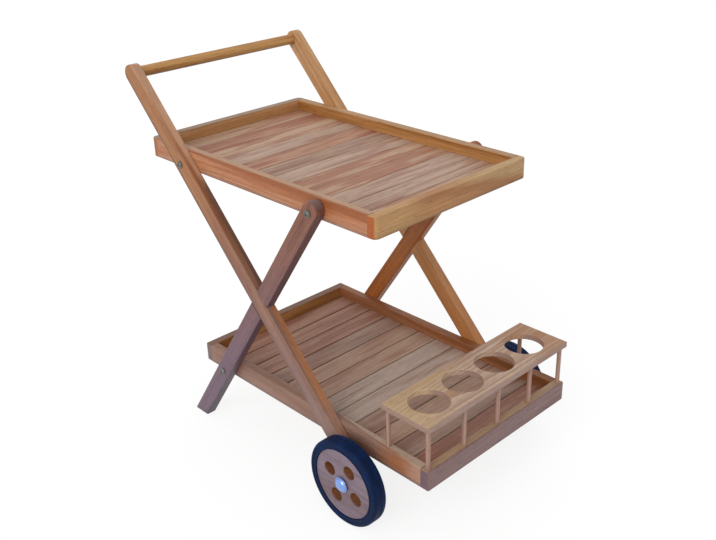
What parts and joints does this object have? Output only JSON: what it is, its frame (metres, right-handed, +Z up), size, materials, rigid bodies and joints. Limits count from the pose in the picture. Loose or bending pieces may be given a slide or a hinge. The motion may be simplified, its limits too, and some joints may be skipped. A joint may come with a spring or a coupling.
{
  "type": "serving trolley",
  "caption": "Wooden serving trolley with slatted upper and lower trays, crossed legs, a push handle, a bottle rack and rubber-tyred wheels.",
  "frame": {"origin": "on the floor, under the middle of the whole outline", "axes": "+X along the trays towards the wheels and the bottle rack, +Y to the left of someone who pushes the trolley by its handle, +Z up"},
  "size_m": [0.938, 0.6182, 0.893],
  "materials": {
    "upper_rail_wood": "oiled hardwood, satin",
    "lower_rail_wood": "oiled hardwood, satin",
    "upper_slat_wood": "oiled hardwood, satin",
    "lower_slat_wood": "oiled hardwood, satin",
    "leg_wood": "oiled hardwood, satin",
    "handle_wood": "oiled hardwood, satin",
    "rack_wood": "oiled hardwood, satin",
    "spindle_wood": "oiled hardwood, satin",
    "wheel_wood": "oiled hardwood, satin",
    "dowel_wood": "plain beech",
    "tyre_rubber": "moulded rubber, soft sheen",
    "hub_chrome": "bright plated",
    "zinc_steel": "zinc plated",
    "insert_brass": "turned",
    "bush_nylon": "moulded nylon"
  },
  "bodies": {
    "frame": {"axle_bolts": "zinc_steel", "bottle_plank": "rack_wood", "corner_dowels": "dowel_wood", "handle_bar": "handle_wood", "hub_cap_left": "hub_chrome", "hub_cap_right": "hub_chrome", "insert_nuts": "insert_brass", "leg_bolts": "zinc_steel", "leg_washers": "zinc_steel", "long_leg_left": "leg_wood", "long_leg_right": "leg_wood", "lower_front_rail": "lower_rail_wood", "lower_rear_rail": "lower_rail_wood", "lower_side_rail_left": "lower_rail_wood", "lower_side_rail_right": "lower_rail_wood", "lower_slat_01": "lower_slat_wood", "lower_slat_02": "lower_slat_wood", "lower_slat_03": "lower_slat_wood", "lower_slat_04": "lower_slat_wood", "lower_slat_05": "lower_slat_wood", "lower_slat_06": "lower_slat_wood", "lower_slat_07": "lower_slat_wood", "lower_slat_08": "lower_slat_wood", "lower_slat_09": "lower_slat_wood", "lower_slat_10": "lower_slat_wood", "lower_slat_11": "lower_slat_wood", "lower_slat_12": "lower_slat_wood", "rack_spindle_1": "spindle_wood", "rack_spindle_2": "spindle_wood", "rack_spindle_3": "spindle_wood", "rack_spindle_4": "spindle_wood", "rack_spindle_5": "spindle_wood", "rack_spindle_6": "spindle_wood", "rack_spindle_7": "spindle_wood", "short_leg_left": "leg_wood", "short_leg_right": "leg_wood", "upper_front_rail": "upper_rail_wood", "upper_rear_rail": "upper_rail_wood", "upper_side_rail_left": "upper_rail_wood", "upper_side_rail_right": "upper_rail_wood", "upper_slat_01": "upper_slat_wood", "upper_slat_02": "upper_slat_wood", "upper_slat_03": "upper_slat_wood", "upper_slat_04": "upper_slat_wood", "upper_slat_05": "upper_slat_wood", "upper_slat_06": "upper_slat_wood", "upper_slat_07": "upper_slat_wood", "upper_slat_08": "upper_slat_wood", "upper_slat_09": "upper_slat_wood", "upper_slat_10": "upper_slat_wood", "upper_slat_11": "upper_slat_wood", "upper_slat_12": "upper_slat_wood", "wheel_washers": "zinc_steel"},
    "wheel_left": {"tyre_left": "tyre_rubber", "wheel_disc_left": "wheel_wood", "wheel_bush_left": "bush_nylon"},
    "wheel_right": {"tyre_right": "tyre_rubber", "wheel_disc_right": "wheel_wood", "wheel_bush_right": "bush_nylon"}
  },
  "joints": [
    {"name": "wheel_left_spin", "type": "hinge", "parent": "frame", "child": "wheel_left", "pos_m": [0.277, 0.2813, 0.103], "axis": [0, 1, 0], "continuous": true},
    {"name": "wheel_right_spin", "type": "hinge", "parent": "frame", "child": "wheel_right", "pos_m": [0.277, -0.2813, 0.103], "axis": [0, 1, 0], "continuous": true}
  ]
}
